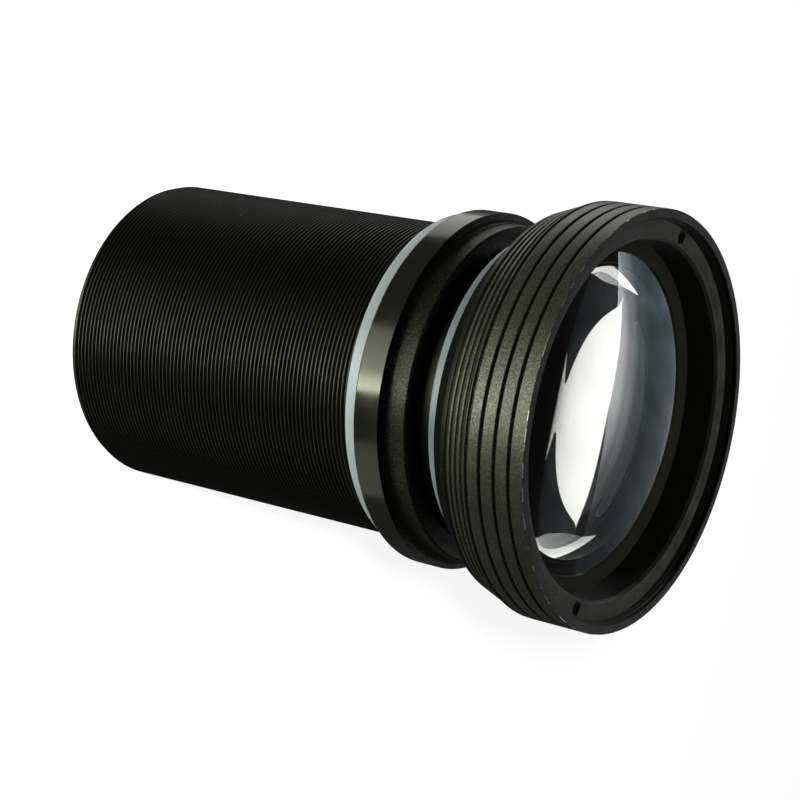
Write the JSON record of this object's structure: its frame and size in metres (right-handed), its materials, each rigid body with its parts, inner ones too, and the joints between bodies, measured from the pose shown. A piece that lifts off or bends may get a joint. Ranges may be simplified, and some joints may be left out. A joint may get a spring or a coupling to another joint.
{
  "type": "projection lens",
  "caption": "Black threaded projection lens with a stepped mounting flange, a ribbed flared head, a recessed domed glass front and glass elements inside.",
  "frame": {"origin": "centre of the barrel's rear end face, on the optical axis", "axes": "+Z along the optical axis from the rear end towards the front rim; +X through one of the two spanner holes"},
  "size_m": [0.083, 0.083, 0.12],
  "materials": {
    "barrel_black": "matt black anodised, finely threaded",
    "head_anodised": "bead-blasted, olive-black anodised",
    "ring_black": "bead-blasted, black anodised",
    "clamp_ring": "satin olive anodised",
    "inner_black": "matt black anodised",
    "washer_plastic": "translucent, satin",
    "lens_glass": "polished and coated, ground rims"
  },
  "bodies": {
    "root": {"main_barrel": "barrel_black", "front_head": "head_anodised", "rear_washer": "washer_plastic", "front_washer": "washer_plastic", "front_retaining_ring": "ring_black", "glass_clamp_ring": "clamp_ring", "front_lens": "lens_glass", "front_spacer": "inner_black", "second_lens": "lens_glass", "middle_spacer": "inner_black", "third_lens": "lens_glass", "neck_retaining_ring": "inner_black", "stop_ring": "inner_black", "rear_cell": "inner_black", "fourth_lens": "lens_glass", "fifth_lens": "lens_glass", "rear_spacer": "inner_black", "rear_lens": "lens_glass", "rear_retaining_ring": "inner_black", "cell_lock_ring": "inner_black"}
  },
  "joints": []
}
